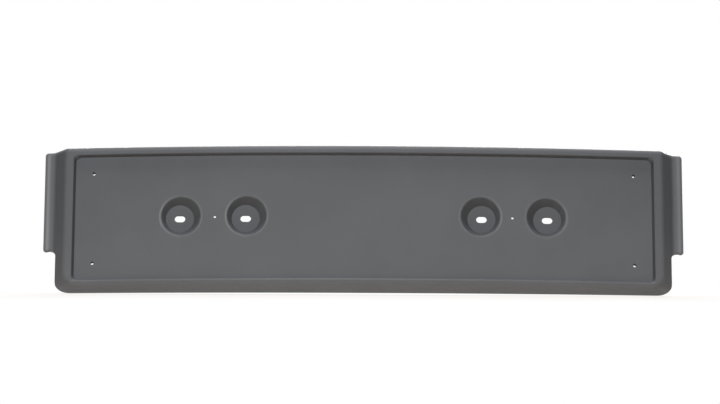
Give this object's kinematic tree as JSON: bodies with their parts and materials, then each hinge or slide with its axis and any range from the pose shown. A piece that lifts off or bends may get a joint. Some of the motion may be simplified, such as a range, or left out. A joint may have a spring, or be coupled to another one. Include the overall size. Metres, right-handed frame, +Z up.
{
  "type": "number plate holder",
  "caption": "One-piece bowed plastic base that carries a long number plate on a car's front bumper, with a shallow plate seat, slotted screw cups and stepped end wings",
  "frame": {"origin": "midway between the two inner screw slots, on the plane where the backs of their cups meet the bumper", "axes": "X runs across the car along the plate's length, +Y points back into the bumper along the screws, +Z is up, and the plate faces -Y"},
  "size_m": [0.58, 0.0342, 0.1335],
  "materials": {
    "moulding": "fine-grained, matt, charcoal, moulded in its own colour"
  },
  "bodies": {
    "root": {"plate_holder": "moulding"}
  },
  "joints": []
}
